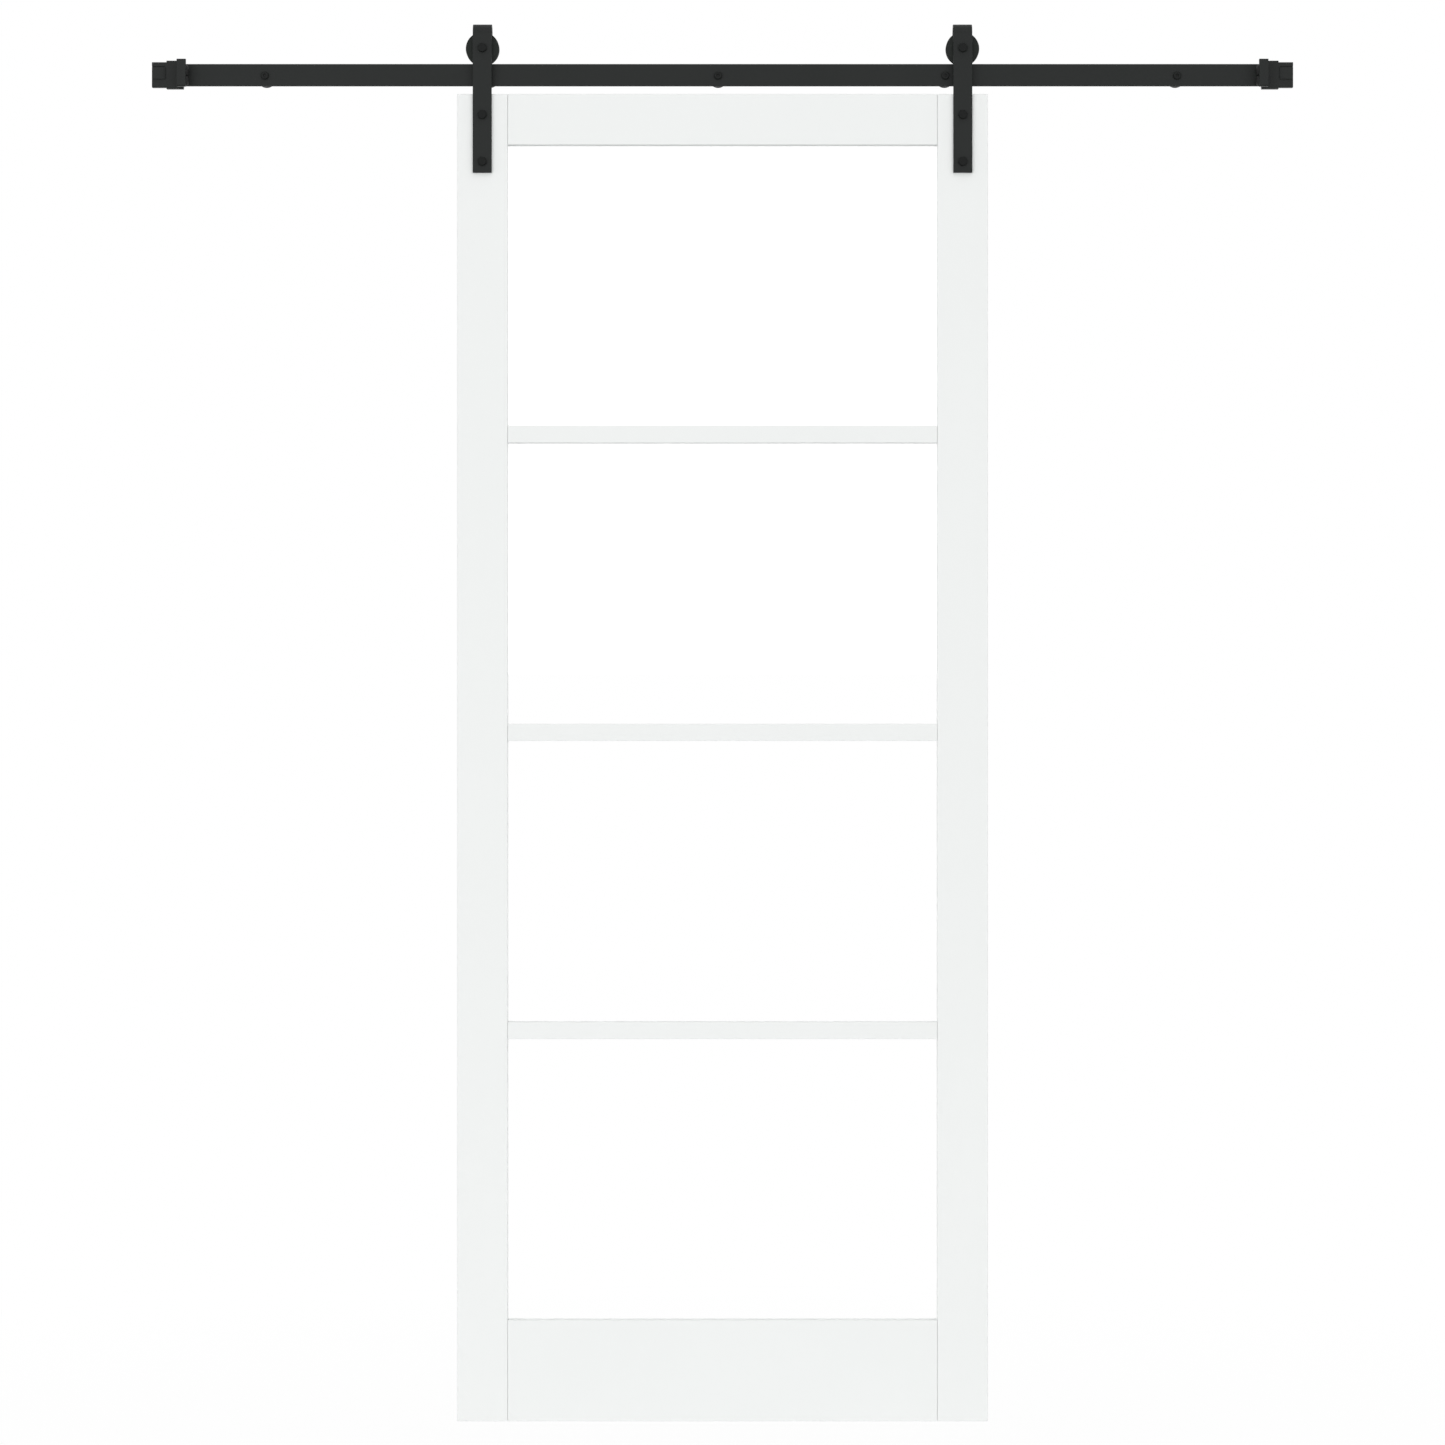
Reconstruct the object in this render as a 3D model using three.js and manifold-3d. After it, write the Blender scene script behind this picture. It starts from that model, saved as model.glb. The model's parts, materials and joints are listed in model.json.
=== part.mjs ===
// A glazed sliding door on a flat wall track: rail, spacers and end stops fixed to the wall, and a
// four-light leaf hung from two bent straps with grooved wheels.
//
// Millimetres. +Z is up, +X runs along the track and +Y points into the wall. The origin lies on the
// wall plane, behind the middle of the track's centreline.

import * as THREE from 'three';
import { mergeVertices } from 'three/addons/utils/BufferGeometryUtils.js';
import Module from 'manifold-3d';

const wasm = await Module();
wasm.setup();

// ---- Driving dimensions ----

const gap = 0.3; // clearance left between two pieces that touch

const rail = { length: 1800, height: 35, thickness: 5 };

const spacer = { length: 32, radius: 15 };

const wallScrew = {
  places: [-725, -370, -7, 353, 720], // along the rail, to suit the wall's studs
  drop: 1, // below the rail's centreline
  radius: 4,
  headRadius: 6.1,
  headHeight: 4.5,
  headChamfer: 0.7,
  socketWidth: 5,
  socketDepth: 2.8,
  wallDepth: 50,
  pointLength: 9,
};

const stop = {
  innerEnd: 853.7, // distances from the middle of the rail
  step: 880.3,
  outerEnd: 903.4,
  clampHalfHeight: 22.3,
  capHalfHeight: 19.9,
  bossHalfHeight: 9.6,
  bossCentre: 2.6, // above the rail's centreline
  bossInner: 881.2,
  bossOuter: 902.2,
  bossReach: 3, // in front of the clamp's front face
  frontWall: 4.4,
  clampBackWall: 5.7,
  capBackWall: 4,
  chamfer: 1,
  backChamfer: 5,
  catchInner: 847.6,
  catchOuter: 861.8,
  catchThickness: 8,
  catchReach: 24.3, // in front of the clamp's front face
  catchLift: 1.2, // of the catch's underside above the clamp's
  setScrewPlace: 867,
  setScrewSpacing: 18,
  setScrewRadius: 3,
  setScrewSocketWidth: 3,
  setScrewSocketDepth: 2.4,
};

const buffer = {
  tip: 843.4, // distance from the middle of the rail
  plateDepth: 2.5,
  plateHalfHeight: 15.5,
  plugRadius: 8.6,
  plugSpacing: 17,
  domeDepth: 5,
  centreDrop: 2.2, // where the two plugs meet, below the rail's centreline
};

const wheel = {
  width: 22,
  rollingRadius: 23.6,
  flangeRadius: 26.4,
  hubRadius: 19.5,
  treadHalfWidth: 3.3,
  grooveHalfWidth: 5.2,
  rimHalfWidth: 8.6,
  rimChamfer: 1,
  recessRadius: 13,
  recessDepth: 6,
  sideClearance: 2, // to each leg of the strap
};

const bearing = { outerRadius: 11, boreRadius: 4, width: 7, raceRadius: 6.1, shieldThickness: 0.6 };

const strap = {
  width: 30,
  thickness: 5,
  spacing: 760, // between the two hangers' centres
  bendTop: 80.2, // above the rail's centreline
  bottom: -156.2,
  tailDrop: 15, // the back leg's end, below the axle
};

const bolt = { radius: 4, headWidth: 13, headHeight: 5.3, places: [-64.5, -138.5] };

const barrelNut = {
  radius: 5.3,
  length: 20,
  headRadius: 9.5,
  headThickness: 2.5,
  crown: 2, // closed metal behind the bore
  socketWidth: 5,
  socketDepth: 1.7,
};

const axle = { nutHeight: 6.5, threadBeyondNut: 2, sleeveRadius: 6 };

const leaf = {
  width: 840,
  height: 2100,
  thickness: 35,
  drop: 13.7, // from the rail's underside to the leaf's top
  stile: 80,
  topRail: 80,
  bottomRail: 160,
  bar: 27,
  barCount: 3,
};

const tenon = { thickness: 8, setback: 3, length: 30, heightShare: 0.55 };

const glazing = {
  paneThickness: 4,
  setback: 14, // from the leaf's front to the glass
  rebate: 9,
  edgeClearance: 1.5,
};

// ---- Places worked out from them ----

const railBack = -spacer.length;
const railFront = railBack - rail.thickness;
const wheelPlane = (railFront + railBack) / 2;
const axleHeight = rail.height / 2 + wheel.rollingRadius;

const leafFront = wheelPlane - wheel.width / 2 - wheel.sideClearance;
const leafTop = -rail.height / 2 - leaf.drop;
const sightWidth = leaf.width - 2 * leaf.stile;
const lightCount = leaf.barCount + 1;
const lightHeight =
  (leaf.height - leaf.topRail - leaf.bottomRail - leaf.barCount * leaf.bar) / lightCount;

const strapInside = leafFront - gap; // the front leg's back face
const strapFront = strapInside - strap.thickness;
const bendInside = wheelPlane - strapInside;
const bendOutside = bendInside + strap.thickness;
const tailBack = wheelPlane + bendOutside;

// ---- Finishes ----

const finish = (color, roughness, metalness = 0) => () =>
  new THREE.MeshStandardMaterial({ color, roughness, metalness });

const blackPaint = finish(0x323433, 0.5, 0.4);
const blackSteel = finish(0x262827, 0.45, 0.6);
const zincSteel = finish(0xa9adb0, 0.35, 0.9);
const rubber = finish(0x1d1e1e, 0.85);
const whitePaint = finish(0xf1f3f2, 0.45);
const clearGlass = finish(0xf4faf7, 0.02);

// ---- Solids ----

// The geometry with shared corners as single vertices, which closes it.
function closed(geometry) {
  geometry.deleteAttribute('normal');
  geometry.deleteAttribute('uv');
  return mergeVertices(geometry, 1e-4);
}

function toSolid(geometry) {
  const { attributes, index } = closed(geometry);
  return new wasm.Manifold(
    new wasm.Mesh({
      numProp: 3,
      vertProperties: new Float32Array(attributes.position.array),
      triVerts: new Uint32Array(index.array),
    })
  );
}

function toGeometry(solid) {
  const { vertProperties, triVerts } = solid.getMesh();
  const geometry = new THREE.BufferGeometry();
  geometry.setAttribute('position', new THREE.BufferAttribute(vertProperties, 3));
  geometry.setIndex(new THREE.BufferAttribute(triVerts, 1));
  geometry.computeVertexNormals();
  return geometry;
}

const join = (...geometries) => toGeometry(geometries.map(toSolid).reduce((a, b) => a.add(b)));
const cut = (body, ...tools) => toGeometry([body, ...tools].map(toSolid).reduce((a, b) => a.subtract(b)));

// A block between two opposite corners.
function block([x0, y0, z0], [x1, y1, z1]) {
  const geometry = new THREE.BoxGeometry(Math.abs(x1 - x0), Math.abs(y1 - y0), Math.abs(z1 - z0));
  return geometry.translate((x0 + x1) / 2, (y0 + y1) / 2, (z0 + z1) / 2);
}

// A round bar along Y through (x, z). Six sides make it a hexagon, so sides also sets the section.
function rod(radius, y0, y1, { x = 0, z = 0, sides = 24 } = {}) {
  const geometry = new THREE.CylinderGeometry(radius, radius, Math.abs(y1 - y0), sides);
  return geometry.translate(x, (y0 + y1) / 2, z);
}

const cornerRadius = (acrossFlats) => acrossFlats / Math.sqrt(3);

const hexagon = (acrossFlats, y0, y1) => rod(cornerRadius(acrossFlats), y0, y1, { sides: 6 });

// A body turned about the Y axis. The profile is [radius, y] pairs, with its material on the left.
function turned(profile, sides) {
  const points = profile.map(([radius, y]) => new THREE.Vector2(radius, y));
  if (profile[0][0] > 0) points.push(points[0].clone());
  return closed(new THREE.LatheGeometry(points, sides));
}

// An outline in (y, z), extruded along X from x0 to x1.
function alongX(outline, x0, x1) {
  const geometry = new THREE.ExtrudeGeometry(outline, {
    depth: Math.abs(x1 - x0),
    bevelEnabled: false,
    curveSegments: 16,
  });
  const axes = new THREE.Matrix4().makeBasis(
    new THREE.Vector3(0, 1, 0),
    new THREE.Vector3(0, 0, 1),
    new THREE.Vector3(1, 0, 0)
  );
  return geometry.applyMatrix4(axes).translate(Math.min(x0, x1), 0, 0);
}

// An outline in (x, z), extruded along Y from the back face y1 to the front face y0.
function alongY(outline, y0, y1) {
  const geometry = new THREE.ExtrudeGeometry(outline, {
    depth: y1 - y0,
    bevelEnabled: false,
    curveSegments: 14,
  });
  return geometry.rotateX(Math.PI / 2).translate(0, y1, 0);
}

const polygon = (corners) => new THREE.Shape(corners.map(([u, v]) => new THREE.Vector2(u, v)));

function add(group, name, geometry, material, { x = 0, y = 0, z = 0, turn = 0 } = {}) {
  const mesh = new THREE.Mesh(geometry, material);
  mesh.name = name;
  mesh.position.set(x, y, z);
  mesh.rotation.y = turn;
  group.add(mesh);
}

// ---- Track: rail, spacers and wall screws ----

function trackRail() {
  const half = rail.height / 2;
  const bar = block([-rail.length / 2, railFront, -half], [rail.length / 2, railBack, half]);
  const holes = wallScrew.places.map((x) =>
    rod(wallScrew.radius + gap, railFront - 1, railBack + 1, { x, z: -wallScrew.drop })
  );
  return cut(bar, ...holes);
}

function wallSpacer() {
  const inner = wallScrew.radius + gap;
  const front = railBack + gap;
  return turned([[inner, 0], [inner, front], [spacer.radius, front], [spacer.radius, 0]], 40);
}

function wallScrewBody() {
  const seat = railFront - gap;
  const top = seat - wallScrew.headHeight;
  const { radius, headRadius, headChamfer, wallDepth } = wallScrew;
  const body = turned(
    [
      [0, top],
      [headRadius - headChamfer, top],
      [headRadius, top + headChamfer],
      [headRadius, seat],
      [radius, seat],
      [radius, wallDepth - wallScrew.pointLength],
      [0, wallDepth],
    ],
    24
  );
  return cut(body, hexagon(wallScrew.socketWidth, top - 1, top + wallScrew.socketDepth));
}

function buildTrack() {
  const group = new THREE.Group();
  add(group, 'track_rail', trackRail(), blackPaint());
  wallScrew.places.forEach((x, i) => {
    const place = { x, z: -wallScrew.drop };
    add(group, `wall_spacer_${i + 1}`, wallSpacer(), blackPaint(), place);
    add(group, `wall_screw_${i + 1}`, wallScrewBody(), blackSteel(), { ...place, turn: i });
  });
  return group;
}

// ---- End stops: a cast clamp over the rail's end, a rubber buffer and two set screws ----

const clampFront = railFront - gap - stop.frontWall;
const clampBack = railBack + gap + stop.clampBackWall;
const capBack = railBack + gap + stop.capBackWall;
const catchFront = clampFront - stop.catchReach;
const catchBack = catchFront + stop.catchThickness;

// A section in (y, z) from front to back, its corners cut away by the two chamfers.
function chamferedSection(front, back, h, frontChamfer, backChamfer) {
  const upper = [
    [back, h - backChamfer],
    [back - backChamfer, h],
    [front + frontChamfer, h],
    [front, h - frontChamfer],
  ];
  const lower = upper.map(([y, z]) => [y, -z]).reverse();
  return polygon([...upper, ...lower]);
}

function stopBody(side) {
  const { clampHalfHeight: h, chamfer: c } = stop;
  const catchBottom = stop.catchLift - h;
  const cheek = polygon([
    [catchFront, h - c],
    [catchFront, catchBottom + 2 * c],
    [catchFront + 2 * c, catchBottom],
    [catchBack, catchBottom],
    [catchBack, h],
    [catchFront + c, h],
  ]);
  const clamp = chamferedSection(clampFront, clampBack, h, c, stop.backChamfer);
  const cap = chamferedSection(clampFront, capBack, stop.capHalfHeight, c, c);
  const bossFront = clampFront - stop.bossReach;
  const boss = chamferedSection(bossFront, clampFront + c, stop.bossHalfHeight, c, c / 2);
  const body = join(
    alongX(clamp, side * stop.innerEnd, side * stop.step),
    alongX(cap, side * (stop.step - c), side * stop.outerEnd),
    alongX(boss, side * stop.bossInner, side * stop.bossOuter).translate(0, 0, stop.bossCentre),
    alongX(cheek, side * stop.catchInner, side * stop.catchOuter),
    block(
      [side * stop.innerEnd, catchBack - c, catchBottom],
      [side * stop.catchOuter, clampFront + c, h]
    )
  );
  const slot = rail.height / 2 + gap;
  const railSlot = block(
    [side * (stop.innerEnd - 1), railFront - gap, -slot],
    [side * (rail.length / 2 + gap), railBack + gap, slot]
  );
  const threads = [1, -1].map((end) =>
    rod(stop.setScrewRadius + gap, railBack, clampBack + 1, {
      x: side * stop.setScrewPlace,
      z: (end * stop.setScrewSpacing) / 2,
      sides: 20,
    })
  );
  return cut(body, railSlot, ...threads);
}

// A round plug with a domed tip. Its root is at x = 0, and it points along the rail to its middle.
function bufferPlug(side, halfDepth) {
  const { plugRadius: radius, domeDepth } = buffer;
  const length = stop.innerEnd - gap - buffer.tip;
  const steps = 5;
  const dome = Array.from({ length: steps + 1 }, (_, i) => {
    const angle = (i / steps) * (Math.PI / 2);
    return [radius * Math.cos(angle), length + domeDepth * (Math.sin(angle) - 1)];
  });
  dome[steps][0] = 0;
  const plug = turned([[0, 0], [radius, 0], ...dome], 24);
  return plug.rotateZ((side * Math.PI) / 2).scale(1, halfDepth / radius, 1);
}

// Two plugs on one plate, in front of the clamp and behind the catch's cheek.
function stopBuffer(side) {
  const front = catchBack + gap;
  const back = clampFront - gap;
  const middle = (front + back) / 2;
  const base = side * (stop.innerEnd - gap);
  const half = buffer.plateHalfHeight;
  const plate = block([base, front, -half], [base - side * buffer.plateDepth, back, half]);
  const plugs = [1, -1].map((end) =>
    bufferPlug(side, back - middle).translate(base, middle, (end * buffer.plugSpacing) / 2)
  );
  return join(plate, ...plugs);
}

function setScrew() {
  const tip = railBack + gap;
  const body = rod(stop.setScrewRadius, tip, clampBack, { sides: 20 });
  const socket = hexagon(stop.setScrewSocketWidth, clampBack - stop.setScrewSocketDepth, clampBack + 1);
  return cut(body, socket);
}

function buildStop(name, side) {
  const group = new THREE.Group();
  add(group, `${name}_stop_body`, stopBody(side), blackPaint());
  add(group, `${name}_stop_buffer`, stopBuffer(side), rubber(), { z: -buffer.centreDrop });
  for (const [end, sign] of [['upper', 1], ['lower', -1]]) {
    const place = { x: side * stop.setScrewPlace, z: (sign * stop.setScrewSpacing) / 2 };
    add(group, `${name}_stop_set_screw_${end}`, setScrew(), blackSteel(), place);
  }
  return group;
}

// ---- Hangers: strap, bolts, axle and wheel ----

// The strap's edge: a long front leg, a round bend over the wheel, and a short leg behind it.
function strapOutline() {
  const bendCentre = strap.bendTop - bendOutside;
  const tailEnd = axleHeight - strap.tailDrop;
  const outline = new THREE.Shape();
  outline.moveTo(strapFront, strap.bottom);
  outline.lineTo(strapInside, strap.bottom);
  outline.lineTo(strapInside, bendCentre);
  outline.absarc(wheelPlane, bendCentre, bendInside, Math.PI, 0, true);
  outline.lineTo(wheelPlane + bendInside, tailEnd);
  outline.lineTo(tailBack, tailEnd);
  outline.lineTo(tailBack, bendCentre);
  outline.absarc(wheelPlane, bendCentre, bendOutside, 0, Math.PI, false);
  return outline;
}

function hangerStrap() {
  const body = alongX(strapOutline(), -strap.width / 2, strap.width / 2);
  const hole = bolt.radius + gap;
  const boltHoles = bolt.places.map((z) => rod(hole, strapFront - 1, strapInside + 1, { z }));
  return cut(body, rod(hole, strapFront - 1, tailBack + 1, { z: axleHeight }), ...boltHoles);
}

// A hex-headed bolt whose head bears on the strap's front.
function hexBolt(end) {
  const seat = strapFront - gap;
  return join(hexagon(bolt.headWidth, seat - bolt.headHeight, seat), rod(bolt.radius, seat - 1, end));
}

// Turned about the bolt's axis, with y = 0 on the leaf's back face.
function barrelNutBody() {
  const bore = bolt.radius + gap;
  const { radius, headRadius, length } = barrelNut;
  const top = gap + barrelNut.headThickness;
  const body = turned(
    [
      [0, -barrelNut.crown],
      [bore, -barrelNut.crown],
      [bore, -length],
      [radius, -length],
      [radius, gap],
      [headRadius, gap],
      [headRadius, top],
      [0, top],
    ],
    32
  );
  return cut(body, hexagon(barrelNut.socketWidth, top - barrelNut.socketDepth, top + 1));
}

function axleNut() {
  const seat = tailBack + gap;
  const body = hexagon(bolt.headWidth, seat, seat + axle.nutHeight);
  return cut(body, rod(bolt.radius + gap, seat - 1, seat + axle.nutHeight + 1));
}

const ring = (inner, outer, y0, y1, sides = 32) =>
  turned([[inner, y0], [outer, y0], [outer, y1], [inner, y1]], sides);

// The grooved wheel, the same on both sides but for the shoulder that the bearing sits against.
function groovedWheel() {
  const half = wheel.width / 2;
  const tread = wheel.rollingRadius - gap;
  const { flangeRadius: flange, rimHalfWidth: rim, rimChamfer: c, recessRadius } = wheel;
  const frontHalf = [
    [recessRadius, -half],
    [wheel.hubRadius, -half],
    [wheel.hubRadius + 1, 1 - half],
    [flange - c, -rim],
    [flange, c - rim],
    [flange, -wheel.grooveHalfWidth],
    [tread, -wheel.treadHalfWidth],
  ];
  const backHalf = frontHalf.map(([radius, y]) => [radius, -y]).reverse();
  const recessFloor = half - wheel.recessDepth;
  const seat = bearing.outerRadius;
  const shoulder = bearing.width / 2 + gap;
  return turned(
    [
      ...frontHalf,
      ...backHalf,
      [recessRadius, recessFloor],
      [seat - 1.5, recessFloor],
      [seat - 1.5, shoulder],
      [seat, shoulder],
      [seat, -recessFloor],
      [recessRadius, -recessFloor],
    ],
    64
  );
}

// The outer race with its two shields, open at the slit round the inner race.
function outerRace() {
  const half = bearing.width / 2;
  const outer = bearing.outerRadius - gap;
  const slit = bearing.raceRadius + gap;
  const wall = outer - 1.4;
  const shield = half - bearing.shieldThickness;
  return turned(
    [[outer, -half], [outer, half], [slit, half], [slit, shield], [wall, shield],
      [wall, -shield], [slit, -shield], [slit, -half]],
    48
  );
}

function buildHanger(name, side) {
  const hanger = new THREE.Group();
  hanger.position.x = (side * strap.spacing) / 2;
  add(hanger, `${name}_hanger_strap`, hangerStrap(), blackPaint());

  const leafBack = leafFront + leaf.thickness;
  const boltEnd = leafBack - barrelNut.crown - 3;
  ['upper', 'lower'].forEach((end, i) => {
    const z = bolt.places[i];
    add(hanger, `${name}_strap_bolt_${end}`, hexBolt(boltEnd), blackSteel(), { z, turn: side * (i + 0.4) });
    add(hanger, `${name}_barrel_nut_${end}`, barrelNutBody(), blackSteel(), { y: leafBack, z });
  });

  const place = { z: axleHeight };
  const axleEnd = tailBack + gap + axle.nutHeight + axle.threadBeyondNut;
  add(hanger, `${name}_axle_bolt`, hexBolt(axleEnd), blackSteel(), { ...place, turn: side * 0.25 });
  add(hanger, `${name}_axle_nut`, axleNut(), blackSteel(), { ...place, turn: side * 0.7 });

  const hub = new THREE.Group();
  hub.position.set(0, wheelPlane, axleHeight);
  const bore = bearing.boreRadius + gap;
  const half = bearing.width / 2;
  const sleeveEnd = bendInside - gap;
  const sleeve = (y0, y1) => ring(bore, axle.sleeveRadius, y0, y1);
  add(hub, `${name}_axle_sleeve_front`, sleeve(-sleeveEnd, -half - gap), zincSteel());
  add(hub, `${name}_axle_sleeve_back`, sleeve(half + gap, sleeveEnd), zincSteel());
  add(hub, `${name}_bearing_inner_race`, ring(bore, bearing.raceRadius, -half, half), zincSteel());
  add(hub, `${name}_bearing_outer_race`, outerRace(), zincSteel());
  add(hub, `${name}_wheel`, groovedWheel(), blackPaint());
  hanger.add(hub);
  return hanger;
}

// ---- Leaf: stiles, rails and glazing bars, with y = 0 on its front and z = 0 at its top ----

const lights = Array.from({ length: lightCount }, (_, i) => {
  const top = -leaf.topRail - i * (lightHeight + leaf.bar);
  return { top, bottom: top - lightHeight };
});

const crosspieces = [
  { name: 'top_rail', top: 0, height: leaf.topRail },
  ...lights.slice(1).map((light, i) => ({
    name: `glazing_bar_${i + 1}`,
    top: light.top + leaf.bar,
    height: leaf.bar,
  })),
  { name: 'bottom_rail', top: leaf.bottomRail - leaf.height, height: leaf.bottomRail },
];

// What the glass and its bead need, cut from the back round each light.
function rebates() {
  const half = sightWidth / 2 + glazing.rebate;
  return lights.map(({ top, bottom }) =>
    block(
      [-half, glazing.setback - gap, bottom - glazing.rebate],
      [half, leaf.thickness + 1, top + glazing.rebate]
    )
  );
}

// A tenon on one end of a crosspiece, or its mortise when it is widened by the gap.
function tenonBlock({ top, height }, side, widen) {
  const middle = top - height / 2;
  const half = (height * tenon.heightShare) / 2 + widen;
  const shoulder = sightWidth / 2;
  return block(
    [side * (shoulder - 1), tenon.setback - widen, middle - half],
    [side * (shoulder + tenon.length + widen), tenon.setback + tenon.thickness + widen, middle + half]
  );
}

function crosspiece(piece) {
  const half = sightWidth / 2 - gap;
  const bar = block([-half, 0, piece.top - piece.height], [half, leaf.thickness, piece.top]);
  return cut(join(bar, tenonBlock(piece, 1, 0), tenonBlock(piece, -1, 0)), ...rebates());
}

function stile(side) {
  const inner = side * (sightWidth / 2);
  const body = block([inner, 0, -leaf.height], [side * (leaf.width / 2), leaf.thickness, 0]);
  const mortises = crosspieces.map((piece) => tenonBlock(piece, side, gap));
  const nutDepth = leaf.thickness - barrelNut.length - gap;
  const boltHoles = bolt.places.flatMap((height) => {
    const place = { x: (side * strap.spacing) / 2, z: height - leafTop };
    return [
      rod(bolt.radius + gap, -1, leaf.thickness, place),
      rod(barrelNut.radius + gap, nutDepth, leaf.thickness + 1, place),
    ];
  });
  return cut(body, ...rebates(), ...mortises, ...boltHoles);
}

function glassPane() {
  const lap = glazing.rebate - glazing.edgeClearance;
  const halfWidth = sightWidth / 2 + lap;
  const halfHeight = lightHeight / 2 + lap;
  return block([-halfWidth, 0, -halfHeight], [halfWidth, glazing.paneThickness, halfHeight]);
}

// A mitred frame of bead that closes the rebate behind the glass.
function glazingBead() {
  const y = glazing.paneThickness + gap;
  const back = leaf.thickness - glazing.setback;
  const rectangle = (halfWidth, halfHeight) => [
    [-halfWidth, -halfHeight],
    [halfWidth, -halfHeight],
    [halfWidth, halfHeight],
    [-halfWidth, halfHeight],
  ];
  const lap = glazing.rebate - gap;
  const outline = polygon(rectangle(sightWidth / 2 + lap, lightHeight / 2 + lap));
  outline.holes.push(polygon(rectangle(sightWidth / 2, lightHeight / 2)));
  return closed(alongY(outline, y, back));
}

function buildLeaf() {
  const group = new THREE.Group();
  group.position.set(0, leafFront, leafTop);
  add(group, 'left_stile', stile(-1), whitePaint());
  add(group, 'right_stile', stile(1), whitePaint());
  for (const piece of crosspieces) {
    add(group, piece.name, crosspiece(piece), whitePaint());
  }
  lights.forEach(({ top, bottom }, i) => {
    const place = { y: glazing.setback, z: (top + bottom) / 2 };
    add(group, `glass_pane_${i + 1}`, glassPane(), clearGlass(), place);
    add(group, `glazing_bead_${i + 1}`, glazingBead(), whitePaint(), place);
  });
  return group;
}

// ---- Assembly ----

const assembly = new THREE.Group();
assembly.add(buildTrack());
assembly.add(buildLeaf());
for (const [name, side] of [['left', -1], ['right', 1]]) {
  assembly.add(buildStop(name, side));
  assembly.add(buildHanger(name, side));
}

export default assembly;
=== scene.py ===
"""The finished look of a glazed sliding door that hangs from a flat wall track.

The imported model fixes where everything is. This script remodels each piece with its eased edges,
threads, chamfers and mouldings, and gives it its finish. Lengths are in mm, and MM turns them into
Blender's metres. Only the camera, the lamps and the floor are placed in metres. A pattern is a
piece that is modelled once and then copied into each place.
"""

import json
import math
from contextlib import contextmanager

import bpy
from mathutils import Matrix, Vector


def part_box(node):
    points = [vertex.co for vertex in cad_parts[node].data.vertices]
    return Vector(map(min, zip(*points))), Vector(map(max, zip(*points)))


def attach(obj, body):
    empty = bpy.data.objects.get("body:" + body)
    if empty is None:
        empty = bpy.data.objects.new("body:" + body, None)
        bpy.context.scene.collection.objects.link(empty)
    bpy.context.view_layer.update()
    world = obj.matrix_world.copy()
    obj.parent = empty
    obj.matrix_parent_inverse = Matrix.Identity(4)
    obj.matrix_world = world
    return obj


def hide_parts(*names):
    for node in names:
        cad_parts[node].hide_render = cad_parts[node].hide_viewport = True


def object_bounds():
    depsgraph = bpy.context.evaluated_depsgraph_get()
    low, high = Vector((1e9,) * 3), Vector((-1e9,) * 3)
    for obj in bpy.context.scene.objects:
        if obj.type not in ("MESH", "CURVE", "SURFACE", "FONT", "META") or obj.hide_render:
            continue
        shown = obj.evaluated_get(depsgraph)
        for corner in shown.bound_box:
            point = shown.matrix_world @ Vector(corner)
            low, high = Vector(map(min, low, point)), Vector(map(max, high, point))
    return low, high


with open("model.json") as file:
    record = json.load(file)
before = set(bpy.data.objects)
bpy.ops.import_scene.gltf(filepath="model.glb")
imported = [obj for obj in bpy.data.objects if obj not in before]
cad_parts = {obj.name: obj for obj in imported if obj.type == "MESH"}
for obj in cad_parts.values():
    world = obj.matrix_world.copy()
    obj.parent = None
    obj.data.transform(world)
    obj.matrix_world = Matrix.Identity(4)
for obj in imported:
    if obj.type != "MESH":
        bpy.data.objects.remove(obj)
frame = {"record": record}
cad_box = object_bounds()

MM = 0.001
TINY = 0.001 * MM  # closer points than this are one point
GAP = 0.3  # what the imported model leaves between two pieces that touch
OVERRUN = 1  # how far a cutter runs past a face, and one solid into the next that it joins
ROUNDED_FROM = math.radians(28)  # edges that turn by more than this are rounded
SHARP_FROM = math.radians(32)  # edges that still turn by more than this are shaded sharp
FLAT_BELOW = math.radians(0.5)  # faces that turn by less than this are made one
SIDES = (("left", -1), ("right", 1))
HEIGHTS = ("upper", "lower")
FIXINGS = range(1, 6)
LIGHTS = range(1, 5)
BODY_OF = {
    node: body
    for body, nodes in frame["record"]["behaviour"]["bodies"].items()
    for node in nodes
}


def box(node):
    """The node's lowest and highest corners, in mm."""
    return tuple(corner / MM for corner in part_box(node))


def size(node):
    """The node's extent along each axis, in mm."""
    low, high = box(node)
    return high - low


def middle(node):
    """The middle of the node's box, in mm."""
    low, high = box(node)
    return (low + high) / 2


# ---- Modelling ----


def pick(piece):
    """Makes the piece the only selected object, and the active one."""
    bpy.ops.object.select_all(action="DESELECT")
    piece.select_set(True)
    bpy.context.view_layer.objects.active = piece


@contextmanager
def editing(piece):
    """Edit mode on the piece, with all of its mesh selected."""
    pick(piece)
    bpy.ops.object.mode_set(mode="EDIT")
    bpy.ops.mesh.select_mode(type="VERT")
    bpy.ops.mesh.select_all(action="SELECT")
    yield
    bpy.ops.object.mode_set(mode="OBJECT")


def named(name):
    """The object that an operator has just made, under this name."""
    piece = bpy.context.object
    piece.name = piece.data.name = name
    return piece


def settle(piece):
    """Puts the piece's place into its mesh, closes its seams and turns its faces outwards."""
    pick(piece)
    bpy.ops.object.transform_apply(location=True, rotation=True, scale=True)
    with editing(piece):
        bpy.ops.mesh.remove_doubles(threshold=TINY)
        bpy.ops.mesh.normals_make_consistent(inside=False)
    return piece


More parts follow.
